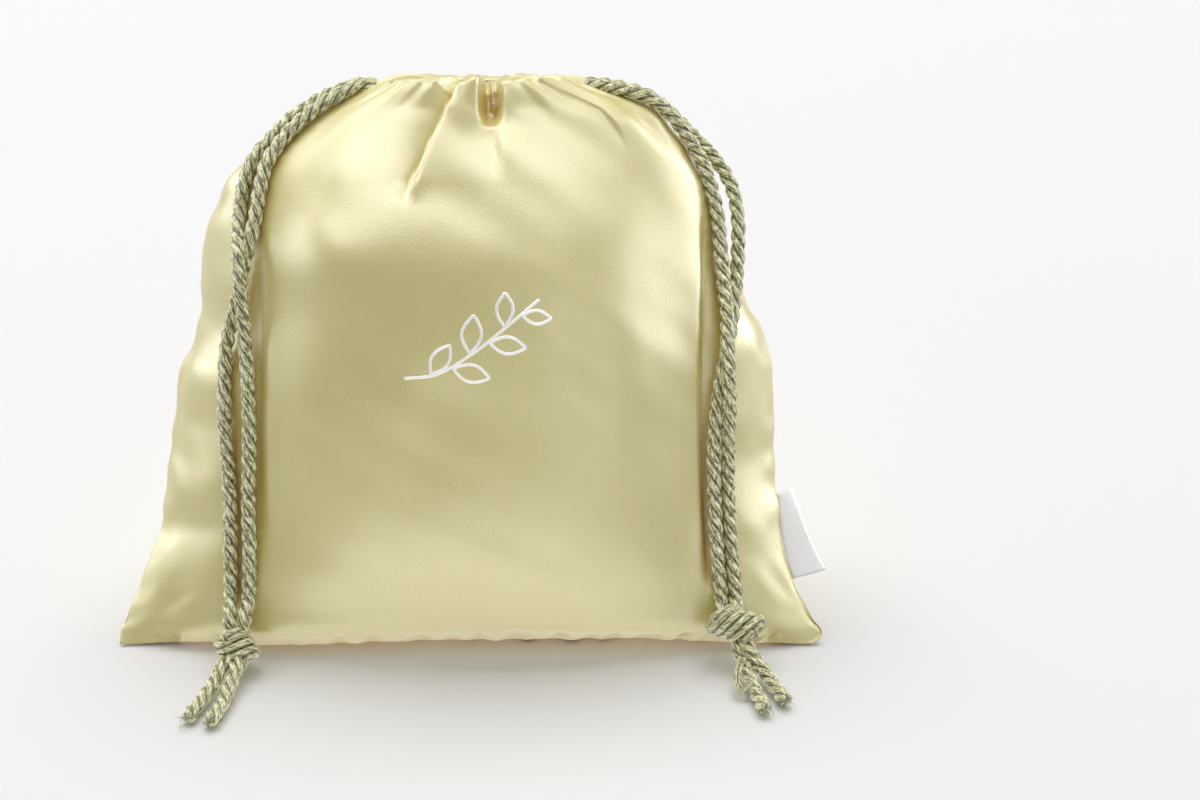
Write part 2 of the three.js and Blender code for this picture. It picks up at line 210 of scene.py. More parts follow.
# The tails below the knots, laid on the floor
TAILS = {
    ("left", "before"): [
        (-62.0, -56.6, 5.0),
        (-64.0, -63.4, 3.2),
        (-66.4, -70.0, 2.3),
        (-68.6, -76.6, 2.3),
    ],
    ("left", "behind"): [
        (-58.6, -57.5, 4.8),
        (-59.8, -64.4, 2.8),
        (-61.0, -71.4, 2.3),
        (-63.0, -78.4, 2.3),
    ],
    ("right", "before"): [
        (68.5, -51.4, 7.0),
        (72.8, -58.4, 3.2),
        (75.4, -64.0, 2.3),
        (77.2, -69.2, 2.3),
    ],
    ("right", "behind"): [
        (66.9, -52.2, 4.5),
        (68.8, -60.0, 2.8),
        (70.4, -66.4, 2.3),
        (72.1, -73.0, 2.3),
    ],
}

# The twist of a cord
PLIES = 3
PLY_OFFSET = 0.47  # from the cord's middle to a ply's, in cord radii
PLY_RADIUS = 0.53  # in cord radii
CORD_LAY = 11.7  # the length in which a ply goes once round
ROPE_STEP = 0.4
ROPE_SIDES = 27
ROPE_TIP = 0.7  # length of a rounded end
ROPE_TIP_LEAST = 0.02  # the share of that length at which the end is cut flat


# Curves

FINE_PER_POINT = 60  # samples for each point of a path, before it is cut into even steps


def cubic(x, y, at):
    """Cubic pieces through the points (x, y), with the slope of the line across its neighbours at each."""
    last = len(x) - 1
    order = np.arange(len(x))
    ahead = np.minimum(order + 1, last)
    behind = np.maximum(order - 1, 0)
    shape = (-1,) + (1,) * (y.ndim - 1)
    slope = (y[ahead] - y[behind]) / (x[ahead] - x[behind]).reshape(shape)
    i = np.clip(np.searchsorted(x, at, side="right") - 1, 0, last - 1)
    gap = x[i + 1] - x[i]
    t = (at - x[i]) / gap
    if y.ndim > 1:
        gap, t = gap[..., None], t[..., None]
    return (
        y[i] * (2 * t**3 - 3 * t**2 + 1)
        + slope[i] * gap * (t**3 - 2 * t**2 + t)
        + y[i + 1] * (3 * t**2 - 2 * t**3)
        + slope[i + 1] * gap * (t**3 - t**2)
    )


def along(rows, column, level):
    """A column of a table at any level."""
    return cubic(rows["level"], rows[column], level)


def run_length(path):
    """The distance along a path at each of its points: the running sum of its steps."""
    steps = np.linalg.norm(np.diff(path, axis=0), axis=1)
    return np.concatenate([[0.0], np.cumsum(steps)])


def smooth_path(points, step):
    """One smooth curve through a few points, cut into even steps."""
    points = np.array(points, float)
    reach = run_length(points)
    fine = cubic(reach, points, np.linspace(0, reach[-1], FINE_PER_POINT * len(points)))
    length = run_length(fine)
    at = np.linspace(0, length[-1], int(round(length[-1] / step)) + 1)
    return np.stack([np.interp(at, length, fine[:, k]) for k in range(3)], -1)


def unit(vectors):
    """Vectors of length 1 in the same directions."""
    return vectors / np.linalg.norm(vectors, axis=-1, keepdims=True)


def ease(low, high, at):
    """0 below low, 1 above high, and an S-shaped cubic between them."""
    t = np.clip((at - low) / (high - low), 0, 1)
    return t * t * (3 - 2 * t)


def bell(off, half_width):
    """1 in the middle, falling off as a bell on both sides."""
    return np.exp(-((off / half_width) ** 2))


# The cloth as a surface of two parameters

NORMAL_STEP = 0.015  # parts of a turn and of a level
FINE_NORMAL_STEP = 0.004


def section(turn, level):
    """What the cloth's formulas share: place across the panel, facing, fullness and half width."""
    angle = FULL_TURN * turn
    across = -np.cos(angle)
    facing = np.where(np.sin(angle) >= 0, FRONT, BACK)
    full = np.abs(np.sin(angle)) ** (2 * along(PROFILE, "edge", level))
    left = along(OUTLINE, "left", level)
    right = along(OUTLINE, "right", level)
    half_width = np.where(across < 0, left, right)
    return across, facing, full, half_width


def drawn_in(across, facing, level):
    """How far gathers and dents draw the cloth in: the sum of one pointed or round bell for each row."""
    depth = np.zeros(np.shape(across))
    for row_facing, at, end, reach, deep, spread in zip(*GATHERS.values()):
        down = (1 - level) / reach
        middle = at + (end - at) * down
        off = (across - middle) / (spread * (1 - GATHER_NARROWING * np.clip(down, 0, 1)))
        fold = deep * (1 - down**2) * np.exp(-np.hypot(off, GATHER_ROUNDING))
        depth += np.where((facing == row_facing) & (down <= 1), fold, 0)
    for row_facing, at, height, wide, high, deep in zip(*DENTS.values()):
        dent = deep * bell(across - at, wide) * bell(level - height, high)
        depth += np.where(facing == row_facing, dent, 0)
    return depth


def cloth(turn, level, inset=0.0):
    """Points of the plain cloth. turn goes from the left seam over the front to the right seam and the back.

    A section is a lens between the two seams: x follows the cosine of the turn, and y and z go from the seam
    to the panel's middle by a power of its sine. Gathers and dents then move a point level towards a spine.
    """
    across, facing, full, half_width = section(turn, level)
    half_width = half_width - SEAM_INSET * inset / WALL
    seam_y = along(PROFILE, "seam_y", level)
    seam_z = along(PROFILE, "seam_z", level)
    is_front = facing == FRONT
    panel_y = np.where(is_front, along(PROFILE, "front_y", level), along(PROFILE, "back_y", level))
    panel_z = np.where(is_front, along(PROFILE, "front_z", level), along(PROFILE, "back_z", level))
    x = across * half_width
    y = seam_y + (panel_y - facing * inset - seam_y) * full
    z = seam_z + (panel_z - seam_z) * full
    spine = np.clip(x, -SPINE_SHARE * half_width, SPINE_SHARE * half_width)
    outward = unit(np.stack([x - spine, y - seam_y + facing, np.zeros_like(x)], -1))
    points = np.stack([x, y, z], -1) - outward * drawn_in(across, facing, level)[..., None]
    points[..., 2] = np.maximum(points[..., 2], inset)
    return points


def cloth_normal(turn, level, step=NORMAL_STEP):
    """The outward direction of the plain cloth, across points a little to each side."""
    around = cloth(turn + step, level) - cloth(turn - step, level)
    up = cloth(turn, level + step) - cloth(turn, level - step)
    return unit(np.cross(around, up))


# Meshes

def grid_faces(rows, columns):
    """The quads of a grid whose columns go round, as vertex numbers, and each corner's row and column."""
    row, column = np.meshgrid(np.arange(rows - 1), np.arange(columns), indexing="ij")
    corner_row = np.stack([row, row, row + 1, row + 1], -1).reshape(-1, 4)
    corner_column = np.stack([column, column + 1, column + 1, column], -1).reshape(-1, 4)
    return corner_row * columns + corner_column % columns, corner_row, corner_column


def make_piece(name, points, faces, uv, material):
    """A smooth mesh object from points in millimetres, faces, and a UV pair for each face corner."""
    mesh = bpy.data.meshes.new(name)
    mesh.from_pydata((np.asarray(points) * MM).tolist(), [], faces)
    mesh.polygons.foreach_set("use_smooth", np.ones(len(mesh.polygons), bool))
    layer = mesh.uv_layers.new(name="surface")
    layer.data.foreach_set("uv", np.asarray(uv, np.float32).ravel())
    mesh.materials.append(material)
    mesh.update()
    piece = bpy.data.objects.new(name, mesh)
    bpy.context.scene.collection.objects.link(piece)
    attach(piece, "root")
    return piece


# Materials

def new_material(name, colour, roughness, **sockets):
    """A material with one shader, whose values that are the same all over are set on its own sockets."""
    material = bpy.data.materials.new(name)
    material.use_nodes = True
    shader = material.node_tree.nodes["Principled BSDF"]
    shader.inputs["Base Color"].default_value = (*colour, 1)
    shader.inputs["Roughness"].default_value = roughness
    for socket, value in sockets.items():
        shader.inputs[socket.replace("_", " ")].default_value = value
    return material, material.node_tree, shader


def add_node(tree, kind, **values):
    """A node with its properties set, and its inputs where a name is one of them."""
    node = tree.nodes.new(kind)
    for key, value in values.items():
        if key in node.inputs:
            node.inputs[key].default_value = value
        else:
            setattr(node, key, value)
    return node


def surface_vector(tree, scale, skew=0):
    """The piece's own UV map, in millimetres, turned by a skew in degrees and scaled on each axis."""
    source = add_node(tree, "ShaderNodeUVMap", uv_map="surface")
    mapping = add_node(tree, "ShaderNodeMapping", vector_type="TEXTURE")
    mapping.inputs["Rotation"].default_value = (0, 0, np.radians(skew))
    mapping.inputs["Scale"].default_value = [1 / size for size in scale]
    tree.links.new(source.outputs["UV"], mapping.inputs["Vector"])
    return mapping.outputs["Vector"]


def noise(tree, scale, detail=2.0, rough=0.5, skew=0):
    """Noise on the surface, with one feature about as long as one over the scale in millimetres."""
    node = add_node(tree, "ShaderNodeTexNoise", Detail=detail, Roughness=rough, Scale=1.0)
    tree.links.new(surface_vector(tree, scale, skew), node.inputs["Vector"])
    return node.outputs["Fac"]


def ramp(tree, source, stops):
    """A colour ramp from places and colours."""
    node = add_node(tree, "ShaderNodeValToRGB")
    elements = node.color_ramp.elements
    while len(elements) < len(stops):
        elements.new(0.5)
    for element, (place, colour) in zip(elements, stops):
        element.position = place
        element.color = (*colour, 1)
    tree.links.new(source, node.inputs["Fac"])
    return node.outputs["Color"]


def span(tree, source, low, high):
    """A value from 0 to 1 spread over a range."""
    node = add_node(tree, "ShaderNodeMapRange")
    node.inputs["To Min"].default_value = low
    node.inputs["To Max"].default_value = high
    tree.links.new(source, node.inputs["Value"])
    return node.outputs["Result"]


def bump(tree, shader, heights):
    """Bumps laid one over another on the shader: each a height from 0 to 1 and its depth in millimetres."""
    normal = None
    for height, depth in heights:
        node = add_node(tree, "ShaderNodeBump", Strength=1.0, Distance=depth * MM)
        tree.links.new(height, node.inputs["Height"])
        if normal is not None:
            tree.links.new(normal, node.inputs["Normal"])
        normal = node.outputs["Normal"]
    tree.links.new(normal, shader.inputs["Normal"])


def satin_material():
    """Celery satin: a soft coloured gloss, the grain of its floats, faint threads across, and painted warm
    shade in its creases.
    """
    material, tree, shader = new_material(
        "celery_satin", (0.66, 0.585, 0.18), 0.36, Specular_IOR_Level=1.0, IOR=1.8,
        Sheen_Weight=0.1, Sheen_Roughness=0.45, Sheen_Tint=(0.95, 0.93, 0.78, 1),
    )
    grain = noise(tree, (3.2, 2.6, 1), 2.0, 0.6)
    cloud = noise(tree, (0.035, 0.03, 1), 2.0)
    tint = ramp(tree, cloud, [(0.3, (0.64, 0.565, 0.165)), (0.7, (0.69, 0.615, 0.20))])
    fleck = add_node(tree, "ShaderNodeMix", data_type="RGBA", blend_type="OVERLAY")
    fleck.inputs["Factor"].default_value = 0.22
    tree.links.new(tint, fleck.inputs["A"])
    tree.links.new(ramp(tree, grain, [(0.3, (0.3,) * 3), (0.7, (0.7,) * 3)]), fleck.inputs["B"])
    # Painted shade: where cloth faces cloth, in folds, creases and under the cords, the colour is darkened
    # and warmed to brown. This stands in for shade and for light that has bounced off the cloth.
    facing = add_node(tree, "ShaderNodeAmbientOcclusion", Distance=0.007)
    painted_crease_shade = add_node(tree, "ShaderNodeMix", data_type="RGBA", blend_type="MULTIPLY")
    painted_crease_shade.inputs["Factor"].default_value = 1.0
    tree.links.new(fleck.outputs["Result"], painted_crease_shade.inputs["A"])
    shade = ramp(tree, facing.outputs["AO"], [(0.12, (0.86, 0.60, 0.30)), (0.66, (1, 1, 1))])
    tree.links.new(shade, painted_crease_shade.inputs["B"])
    # the painted crease shade multiplies the satin's base colour
    tree.links.new(painted_crease_shade.outputs["Result"], shader.inputs["Base Color"])
    tree.links.new(span(tree, grain, 0.28, 0.41), shader.inputs["Roughness"])
    floats = noise(tree, (7.0, 1.2, 1), 2.0)
    bump(tree, shader, [(grain, 0.055), (floats, 0.02)])
    return material


def ply_crest(tree):
    """0 in the grooves between the plies and 1 on their crests: half a sine for each ply round the cord. It
    masks the painted shade in the grooves.
    """
    source = add_node(tree, "ShaderNodeUVMap", uv_map="surface")
    split = add_node(tree, "ShaderNodeSeparateXYZ")
    tree.links.new(source.outputs["UV"], split.inputs["Vector"])
    value = split.outputs["X"]
    for step in ("MULTIPLY", "SINE", "ABSOLUTE"):
        node = add_node(tree, "ShaderNodeMath", operation=step)
        node.inputs[1].default_value = PLIES / CORD_DIAMETER
        tree.links.new(value, node.inputs[0])
        value = node.outputs["Value"]
    return value


def cord_material():
    """Shiny twisted rayon: sage filaments of uneven tone with painted near-white glints, and painted shade in
    the grooves between the plies.
    """
    material, tree, shader = new_material(
        "sage_cord", (0.42, 0.41, 0.17), 0.32, Specular_IOR_Level=0.5, IOR=1.6,
    )
    filaments = noise(tree, (2.3, 0.5, 1), 3.0, 0.65, -28)
    # Filament colour from dark to near-white: uneven tone of the filaments, with painted glints in the
    # lightest streaks and painted shade in the darkest
    tint = ramp(
        tree, filaments,
        [(0.40, (0.13, 0.13, 0.04)), (0.49, (0.58, 0.565, 0.26)), (0.57, (1.0, 0.98, 0.66))],
    )
    # Painted shade: the colour is darkened strongly in the grooves between the plies
    painted_groove_shade = add_node(tree, "ShaderNodeMix", data_type="RGBA", blend_type="MULTIPLY")
    painted_groove_shade.inputs["Factor"].default_value = 1.0
    tree.links.new(tint, painted_groove_shade.inputs["A"])
    depth = ramp(tree, ply_crest(tree), [(0.0, (0.14, 0.14, 0.07)), (0.65, (1, 1, 1))])
    tree.links.new(depth, painted_groove_shade.inputs["B"])
    tree.links.new(painted_groove_shade.outputs["Result"], shader.inputs["Base Color"])
    tree.links.new(span(tree, filaments, 0.26, 0.44), shader.inputs["Roughness"])
    bump(tree, shader, [(filaments, 0.35)])
    return material


def ribbon_material():
    """White satin ribbon with a fine rib across it."""
    material, tree, shader = new_material(
        "white_ribbon", (0.86, 0.86, 0.855), 0.45, Metallic=0.15, Sheen_Weight=0.2, Specular_IOR_Level=0.5,
    )
    threads = noise(tree, (6.0, 1.0, 1), 2.0)
    tint = ramp(tree, threads, [(0.3, (0.80, 0.80, 0.80)), (0.7, (0.88, 0.88, 0.875))])
    tree.links.new(tint, shader.inputs["Base Color"])
    tree.links.new(span(tree, threads, 0.36, 0.5), shader.inputs["Roughness"])
    bump(tree, shader, [(threads, 0.03)])
    return material


def print_material():
    """Cream ink, a little worn."""
    material, tree, shader = new_material("cream_ink", (0.95, 0.94, 0.90), 0.42, Metallic=0.3)
    wear = noise(tree, (1.5, 1.5, 1), 3.0)
    tint = ramp(tree, wear, [(0.3, (0.92, 0.90, 0.84)), (0.6, (0.97, 0.96, 0.93))])
    tree.links.new(tint, shader.inputs["Base Color"])
    tree.links.new(span(tree, wear, 0.36, 0.5), shader.inputs["Roughness"])
    return material


satin = satin_material()
sage = cord_material()
ribbon = ribbon_material()
ink = print_material()


# Camera

def make_camera():
    """A level camera that looks straight back and down by the pitch."""
    data = bpy.data.cameras.new("camera")
    data.lens = CAMERA_LENS
    data.sensor_width = CAMERA_SENSOR
    camera = bpy.data.objects.new("camera", data)
    camera.location = np.array(CAMERA_PLACE) * MM
    camera.rotation_euler = (np.radians(90 - CAMERA_PITCH), 0, 0)
    bpy.context.scene.collection.objects.link(camera)
    bpy.context.scene.camera = camera


make_camera()


# Cords

FRAME_HINT = np.array([0.0, 0.9, -0.43])  # never along a cord, so it gives every section a level


def rope(path, radius, lay, hint=FRAME_HINT, tips=True, sides=ROPE_SIDES):
    """Points of plies twisted together: rows along the path, columns round it.

    The section is the outline of equal circles set off its middle, one for each ply. It turns backwards by
    one whole turn in each lay, which slants the plies down to the right, and shrinks in a round tip.
    """
    reach = run_length(path)
    tangent = unit(np.gradient(path, axis=0))
    side = unit(hint - (tangent @ hint)[:, None] * tangent)
    over = np.cross(tangent, side)
    angle = np.linspace(0, FULL_TURN, sides, endpoint=False)
    from_ply = angle % (FULL_TURN / PLIES) - np.pi / PLIES
    outline = PLY_OFFSET * np.cos(from_ply)
    outline += np.sqrt(PLY_RADIUS**2 - (PLY_OFFSET * np.sin(from_ply)) ** 2)
    size = np.full(len(path), radius)
    if tips:
        to_end = np.minimum(reach, reach[-1] - reach)
        size *= np.sqrt(1 - (1 - np.clip(to_end / ROPE_TIP, ROPE_TIP_LEAST, 1)) ** 2)
    turned = angle[None, :] - (FULL_TURN * reach / lay)[:, None]
    spread = size[:, None] * outline[None, :]
    across = (spread * np.cos(turned))[..., None] * side[:, None, :]
    return path[:, None, :] + across + (spread * np.sin(turned))[..., None] * over[:, None, :]


def rope_piece(name, grids, ring=False):
    """One mesh from the point grids of one or more ropes, each closed by its ends or joined into a ring."""
    points, faces, uv, start = [], [], [], 0
    for grid in grids:
        rows, columns = grid.shape[:2]
        quads, row, column = grid_faces(rows + ring, columns)
        quads = np.where(row < rows, quads, quads - rows * columns) if ring else quads
        middle = grid.mean(axis=1)
        reach = run_length(np.concatenate([middle, middle[:1]]) if ring else middle)
        around = column * (FULL_TURN * CORD_RADIUS / columns)
        uv.append(np.stack([around, reach[row]], -1).reshape(-1, 2))
        faces += (quads + start).tolist()
        if not ring:
            first = np.arange(columns) + start
            last = first + (rows - 1) * columns
            faces += [first[::-1].tolist(), last.tolist()]
            for end in (0, -1):
                uv.append(np.full((columns, 2), reach[end]))
        points.append(grid.reshape(-1, 3))
        start += rows * columns
    piece = make_piece(name, np.concatenate(points), faces, np.concatenate(uv), sage)
    return piece


def rim_height(y):
    """The height of the rim's plane, which falls towards the back."""
    middle_y = along(PROFILE, "seam_y", 1.0)
    return along(PROFILE, "seam_z", 1.0) - RIM_TILT * (y - middle_y)


def strand_route(side, strand):
    """One end of a cord, from its lane in the hem out over the cloth, through its knot and along its tail."""
    out = -1 if side == "left" else 1
    toward = -1 if strand == "before" else 1
    y = along(PROFILE, "seam_y", 1.0) + toward * LANE_EXITS["apart"]
    x = MOUTH_MIDDLE + out * EXIT_REACH[side] * LANE_EXITS["out"]
    climb = LANE_EXITS["climb"] * (LANE_BELOW_RIM[side] - EXIT_BELOW_RIM)
    exits = np.stack([x, y, rim_height(y) - LANE_BELOW_RIM[side] + climb], -1)
    rows = DRAPES[side]
    turn = rows[strand] if side == "left" else 0.5 - rows[strand]
    away = CORD_RADIUS + CORD_LIFT + rows["lift_" + strand]
    drape = cloth(turn, rows["level"]) + cloth_normal(turn, rows["level"]) * away[:, None]
    entry = np.array(KNOTS[side]["entry"])
    middle = np.array(KNOTS[side]["middle"])
    sideways = np.sign(drape[-1, 0] - entry[0]) * CORD_RADIUS
    entry[0] += sideways
    middle[0] += sideways / 2
    return np.concatenate([exits, drape, [entry, middle], TAILS[side, strand]])


# Each knot is a flattened coil of both ropes round its own axis, which goes back inside itself: turns of each
# rope, length of the coil, half height and half thickness of its turns, and how far their tops lean along it
KNOT_ROPE_RADIUS = 1.65
KNOT_LAY = 22.0
KNOT_STATIONS = 260
KNOT_SIDES = 18
KNOT_COILED = 0.8  # the share of a rope that is in the turns
KNOT_COLUMNS = ("turns", "length", "high", "thick", "lean")
KNOT_COILS = {"left": (1.5, 8.0, 3.4, 2.8, 0.2), "right": (2.0, 10.4, 2.9, 2.4, 1.6)}
KNOT_SHIFT = {"left": (-0.2, 0.0, 0.0), "right": (-0.8, 0.0, 1.6)}
# The directions of a knot's axis, up and front sides, as turns in degrees about Z, X and the front
KNOT_TURNED = {"left": (4, -24, 62), "right": (-8, -24, 14)}


def turning(about_z, about_x, about_front):
    """A rotation: first in the knot's own plane, then tipped back about X, then round Z."""
    z, x, f = np.radians([about_z, about_x, about_front])
    spin = np.array([[np.cos(f), 0, np.sin(f)], [0, 1, 0], [-np.sin(f), 0, np.cos(f)]])
    tip = np.array([[1, 0, 0], [0, np.cos(x), -np.sin(x)], [0, np.sin(x), np.cos(x)]])
    swing = np.array([[np.cos(z), -np.sin(z), 0], [np.sin(z), np.cos(z), 0], [0, 0, 1]])
    return swing @ tip @ spin


def coil(side, start):
    """A rope's line in a knot: a flat screw along the knot's axis, then straight back through its middle."""
    size = dict(zip(KNOT_COLUMNS, KNOT_COILS[side]))
    t = np.linspace(0, 1, KNOT_STATIONS, endpoint=False)
    coiled = np.clip(t / KNOT_COILED, 0, 1)
    back = ease(KNOT_COILED, 1.0, t)
    angle = FULL_TURN * (size["turns"] * coiled + start)
    wide = 1 - np.sin(np.pi * back)
    x = size["length"] * (coiled - 0.5 - back) + size["lean"] * np.sin(angle) * wide
    y = -size["thick"] * np.cos(angle) * wide
    return np.stack([x, y, size["high"] * np.sin(angle) * wide], -1)


def knot_ropes(side):
    """The two ropes of a knot, half a turn apart, as closed rings of twisted cord."""
    front = np.array([0.0, -1.0, 0.0])
    turned = turning(*KNOT_TURNED[side])
    middle = np.array(KNOTS[side]["middle"]) + KNOT_SHIFT[side]
    grids = []
    for start in (0.0, 0.5):
        line = coil(side, start)
        ring = np.concatenate([line, line[:1]])
        reach = run_length(ring)[-1]
        lay = reach / np.round(reach / KNOT_LAY)
        closed = rope(ring, KNOT_ROPE_RADIUS, lay, front, tips=False, sides=KNOT_SIDES)[:-1]
        grids.append(closed @ turned.T + middle)
    return grids


knots = {side: rope_piece("knot_rope_" + side, knot_ropes(side), ring=True) for side in KNOTS}
for side, knot in knots.items():
    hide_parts("knot_" + side)

# What has worked loose: fibres at the cut ends, and one ply that stands off a right tail
FIBRES = 16
FIBRE_RADIUS = 0.10
FIBRE_LENGTH = (0.5, 1.7)
FIBRE_SPREAD = 0.33
FIBRE_STATIONS = 9
FIBRE_SIDES = 5
FIBRE_SCATTER = 0.35  # how far apart fibres start, in cord radii
FIBRE_ROOT = 0.4  # the part of a fibre's length that is inside the cord
FIBRE_CURL = 0.3
FIBRE_DROOP = 0.25
FIBRE_FLOOR = 0.2  # no fibre's middle is lower
FIBRE_BLUNT = 1.05  # just over 1, so that a fibre doesn't end in a point
FIBRE_SEED = 20
LOOSE_PLY_RADIUS = 0.95
LOOSE_PLY_LAY = 3 * CORD_LAY
LOOSE_PLY = [
    (67.6, -54.6, 5.6),
    (66.0, -58.8, 4.4),
    (65.5, -62.2, 3.0),
    (66.8, -64.8, 2.6),
    (69.4, -63.8, 3.8),
]


def fibre_grids(end, ahead, seed):
    """Thin round hairs from a cut end: each leans off the cord's direction and curls with its run squared."""
    chance = np.random.default_rng(seed)
    lean = chance.normal(0, FIBRE_SPREAD, (FIBRES, 3))
    start = end + chance.normal(0, FIBRE_SCATTER * CORD_RADIUS, (FIBRES, 3))
    length = chance.uniform(*FIBRE_LENGTH, FIBRES)[:, None, None]
    run = np.linspace(-FIBRE_ROOT, 1, FIBRE_STATIONS)[None, :, None]
    curl = chance.normal(0, FIBRE_CURL, (FIBRES, 1, 3)) - np.array([0, 0, FIBRE_DROOP])
    path = start[:, None] + length * (run * unit(ahead + lean)[:, None] + np.maximum(run, 0) ** 2 * curl)
    path[..., 2] = np.maximum(path[..., 2], FIBRE_FLOOR)
    angle = np.linspace(0, FULL_TURN, FIBRE_SIDES, endpoint=False)
    tangent = unit(np.gradient(path, axis=1))
    side = unit(np.cross(tangent, FRAME_HINT))
    over = np.cross(tangent, side)
    size = FIBRE_RADIUS * np.sqrt(FIBRE_BLUNT - np.linspace(0, 1, FIBRE_STATIONS) ** 2)[None, :, None, None]
    ring = np.cos(angle)[:, None] * side[:, :, None] + np.sin(angle)[:, None] * over[:, :, None]
    return list(path[:, :, None] + size * ring)


loose = {}
for side in KNOTS:
    grids = []
    for number, ((tail_side, strand), points) in enumerate(TAILS.items()):
        if tail_side == side:
            end, before = np.array(points[-1]), np.array(points[-2])
            grids += fibre_grids(end, unit(end - before), FIBRE_SEED + number)
    loose[side] = [rope_piece("loose_fibres_" + side, grids)]
loose_ply = rope(smooth_path(LOOSE_PLY, ROPE_STEP), LOOSE_PLY_RADIUS, LOOSE_PLY_LAY)
loose["right"].append(rope_piece("loose_ply", [loose_ply]))

TAIL_NODES = {
    ("left", "before"): "tail_left_a",
    ("left", "behind"): "tail_left_b",
    ("right", "before"): "tail_right_a",
    ("right", "behind"): "tail_right_b",
}
for (side, strand), tail in TAIL_NODES.items():
    route = strand_route(side, strand)
    path = smooth_path(route, ROPE_STEP)
    cord = rope_piece(f"cord_{side}_{strand}", [rope(path, CORD_RADIUS, CORD_LAY)])
    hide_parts("drawstring_" + side, tail)


# The pouch

AROUND = 384
OUTER_RINGS = 190
RIM_RINGS = 9
HEM_RINGS = 7
INNER_RINGS = 16
INNER_LEVELS = (0.06, 0.87)
INNER_INSET = 2.8
CREASE_BEHIND_SEAM = 2.6
CLOTH_ROUND = 340.0  # about how far it is round the cloth and up it, for the grain's scale
CLOTH_UP = 155.0
INSIDE_LEVEL = 1.9  # the level to which the grain runs on over the rim and down the inside

# Folds of the front panel: the places each runs through as x and level; the depth of its valley and how wide
# that is; the height of the ridge beside it and how wide that is; the width of the step between them; the
# side that the ridge is on; and the part of a level over which the fold dies
FOLD_ROUNDING = 0.3
FOLD_NARROWEST = 0.4  # a fold's width at its foot, as a share of that at its top
FOLD_STEP_BACK = 0.3  # how far the step reaches into the valley, as a share of its width
FOLD_COLUMNS = ("x", "level", "valley", "ridge", "step", "side", "fade")
FOLDS = [
    (
        (-4.8, -7.8, -11.5, -15.0, -15.6), (1.0, 0.927, 0.873, 0.815, 0.785),
        (2.9, 4.5), (1.2, 8.0), 0.8, 1, 0.050,
    ),
    ((4.8, 5.6, 7.4), (0.95, 0.88, 0.82), (1.0, 4.0), (0.4, 5.0), 3.0, 1, 0.080),
    (
        (17.0, 25.5, 31.7, 35.4, 39.0), (1.0, 0.973, 0.942, 0.907, 0.862),
        (0.3, 2.2), (0.6, 9.0), 0.6, 1, 0.060,
    ),
    ((38.0, 41.7, 49.3, 56.4), (0.99, 0.95, 0.895, 0.841), (1.0, 4.0), (0.5, 3.5), 3.0, 1, 0.060),
    ((58.0, 58.3, 58.3, 59.5), (0.84, 0.60, 0.40, 0.12), (2.4, 4.0), (0.7, 6.0), 1.8, -1, 0.140),
    ((-52.4, -53.0, -53.5, -53.4), (0.78, 0.60, 0.40, 0.20), (1.2, 4.5), (0.6, 6.0), 3.0, 1, 0.160),
    ((-70.0, -76.0, -81.0), (0.150, 0.110, 0.075), (0.30, 5.0), (0.20, 5.0), 4.0, 1, 0.050),
    ((-76.0, -82.0, -85.0), (0.205, 0.170, 0.140), (0.30, 5.0), (0.20, 5.0), 4.0, 1, 0.050),
]
# The deep pocket in the rim: x, half width, the width of its walls, depth, the level of its bottom, and the
# thin flap of cloth that stands in it
POCKET_X = 4.7
POCKET_HALF = 0.9
POCKET_WALL = 2.6
POCKET_DEPTH = 6.0
POCKET_LEVEL = 0.915
POCKET_FOOT = 0.045  # the part of a level over which its round bottom widens
FLAP_OFF = 0.9
FLAP_HALF = 0.5
FLAP_HEIGHT = 3.0
FLAP_LEVEL = 0.955
FLAP_FOOT = 0.02
FUNNEL_DEPTH = 0.8
FUNNEL_HALF = 5.0
FUNNEL_HIGH = 0.035
# The rim's rise and fall along the front: x and rise, the level where it starts and how far back it fades
RIM_CREST_LEVEL = 0.95
RIM_CREST_BACK = 16.0
RIM_CREST = table(
    ("x", "rise"),
    [
        (-26.0, 0.0),
        (-17.0, 1.0),
        (-9.5, 1.3),
        (-5.2, -1.4),
        (-2.8, 0.2),
        (1.8, 1.7),
        (4.7, -0.9),
        (9.0, 0.7),
        (14.0, 1.4),
        (20.0, 1.1),
        (28.0, 0.0),
    ],
)
# Level waves of the side panels: side (-1 left, 1 right), level, half height and how far they stand out
SIDE_WAVES = table(
    ("side", "level", "high", "out"),
    [
        (-1, 0.750, 0.050, 0.9),
        (-1, 0.587, 0.040, -1.1),
        (-1, 0.490, 0.035, 1.1),
        (-1, 0.420, 0.030, -0.7),
        (-1, 0.315, 0.040, 1.2),
        (-1, 0.245, 0.030, -0.9),
        (1, 0.560, 0.040, 1.0),
        (1, 0.360, 0.050, -0.8),
        (1, 0.250, 0.040, 0.6),
    ],
)
# Where these start and die, as places across a panel from 0 in its middle to 1 at its side seams
FOLDS_DIE = (0.86, 0.96)
SIDE_WAVES_RISE = (0.70, 0.90)
SIDE_WAVES_FALL = (0.95, 1.00)
SIDE_WAVES_LOST = 0.5  # the share of a side wave that is gone at the seam
CORNERS = (0.80, 0.95)
SIDE_SEAMS = (0.93, 0.99)
SIDE_SEAMS_START = (0.03, 0.10)  # levels
# Puckers: height, counts a turn and seed, and how far up from the bottom seam or down from the rim they reach
BOTTOM_PUCKERS = (0.55, (47, 61, 79), 3)
BOTTOM_PUCKER_REACH = 3.0
SIDE_PUCKERS = (0.22, (9, 13, 17), 5)
RIM_PUCKERS = (0.20, (19, 29, 41), 7)
RIM_PUCKER_REACH = 5.0
# The roll of the front panel's lower edge: height, how far up it is, and half its width
ROLL_HEIGHT = 1.5
ROLL_UP = 9.0
ROLL_HALF = 6.0
